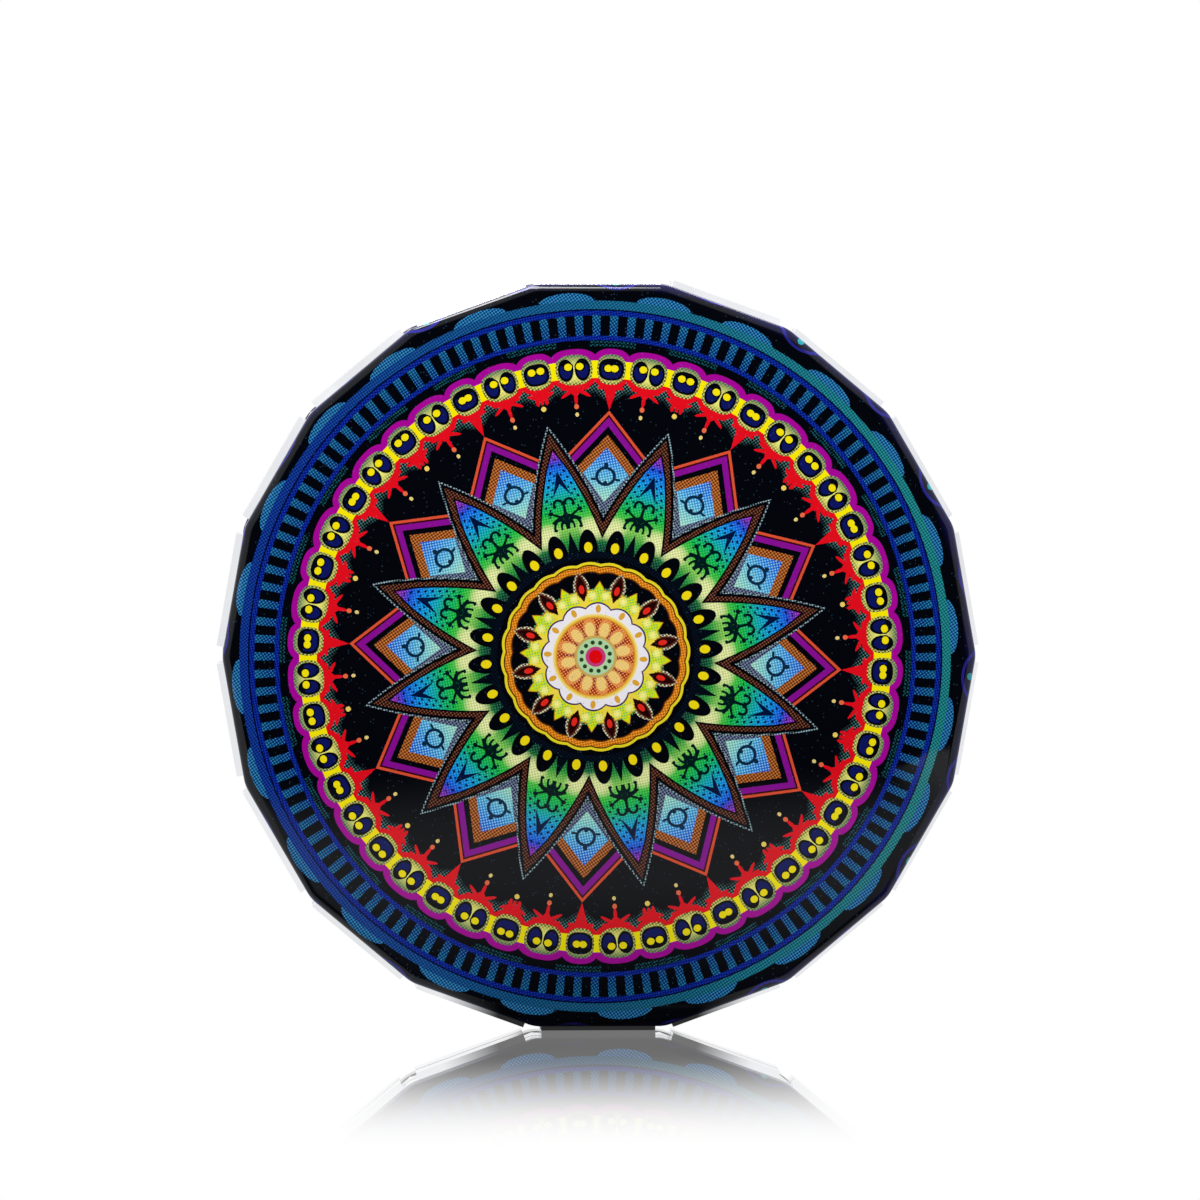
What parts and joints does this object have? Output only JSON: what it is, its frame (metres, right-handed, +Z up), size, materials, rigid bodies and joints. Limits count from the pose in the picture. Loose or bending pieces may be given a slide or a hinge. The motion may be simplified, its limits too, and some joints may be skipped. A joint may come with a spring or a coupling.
{
  "type": "folding pocket mirror",
  "caption": "Closed folding pocket mirror with a printed, many-sided cover, plated frames with raised rim lands, and a plain and an enlarging mirror inside.",
  "frame": {"origin": "middle of the box around the part, on the surface that it stands on", "axes": "+Z up, -Y out of the printed front cover, +X to the right as seen from the front"},
  "size_m": [0.072, 0.0152, 0.0713],
  "materials": {
    "printed_tin": "gloss litho print under clear lacquer",
    "lacquered_tin": "gloss lacquer",
    "plated_frame": "bright satin plating",
    "plated_trim": "polished",
    "mirror_glass": "polished",
    "card": "grey board",
    "foam": "closed-cell foam with adhesive",
    "magnet": "nickel plated",
    "steel_pin": "ground",
    "silicone": "soft clear silicone"
  },
  "bodies": {
    "back_half": {"back_cover": "lacquered_tin", "back_frame": "plated_frame", "back_spacer": "card", "back_foam": "foam", "enlarging_mirror": "mirror_glass", "back_bezel": "plated_trim", "back_magnets": "magnet", "bumpers": "silicone"},
    "front_half": {"front_cover": "printed_tin", "front_frame": "plated_frame", "front_spacer": "card", "front_foam": "foam", "plain_mirror": "mirror_glass", "front_bezel": "plated_trim", "front_magnets": "magnet", "hinge_pin": "steel_pin"}
  },
  "joints": [
    {"name": "lid_hinge", "type": "hinge", "parent": "back_half", "child": "front_half", "pos_m": [0, 0, 0.07005], "axis": [-1, 0, 0], "range_deg": [0, 115]}
  ]
}
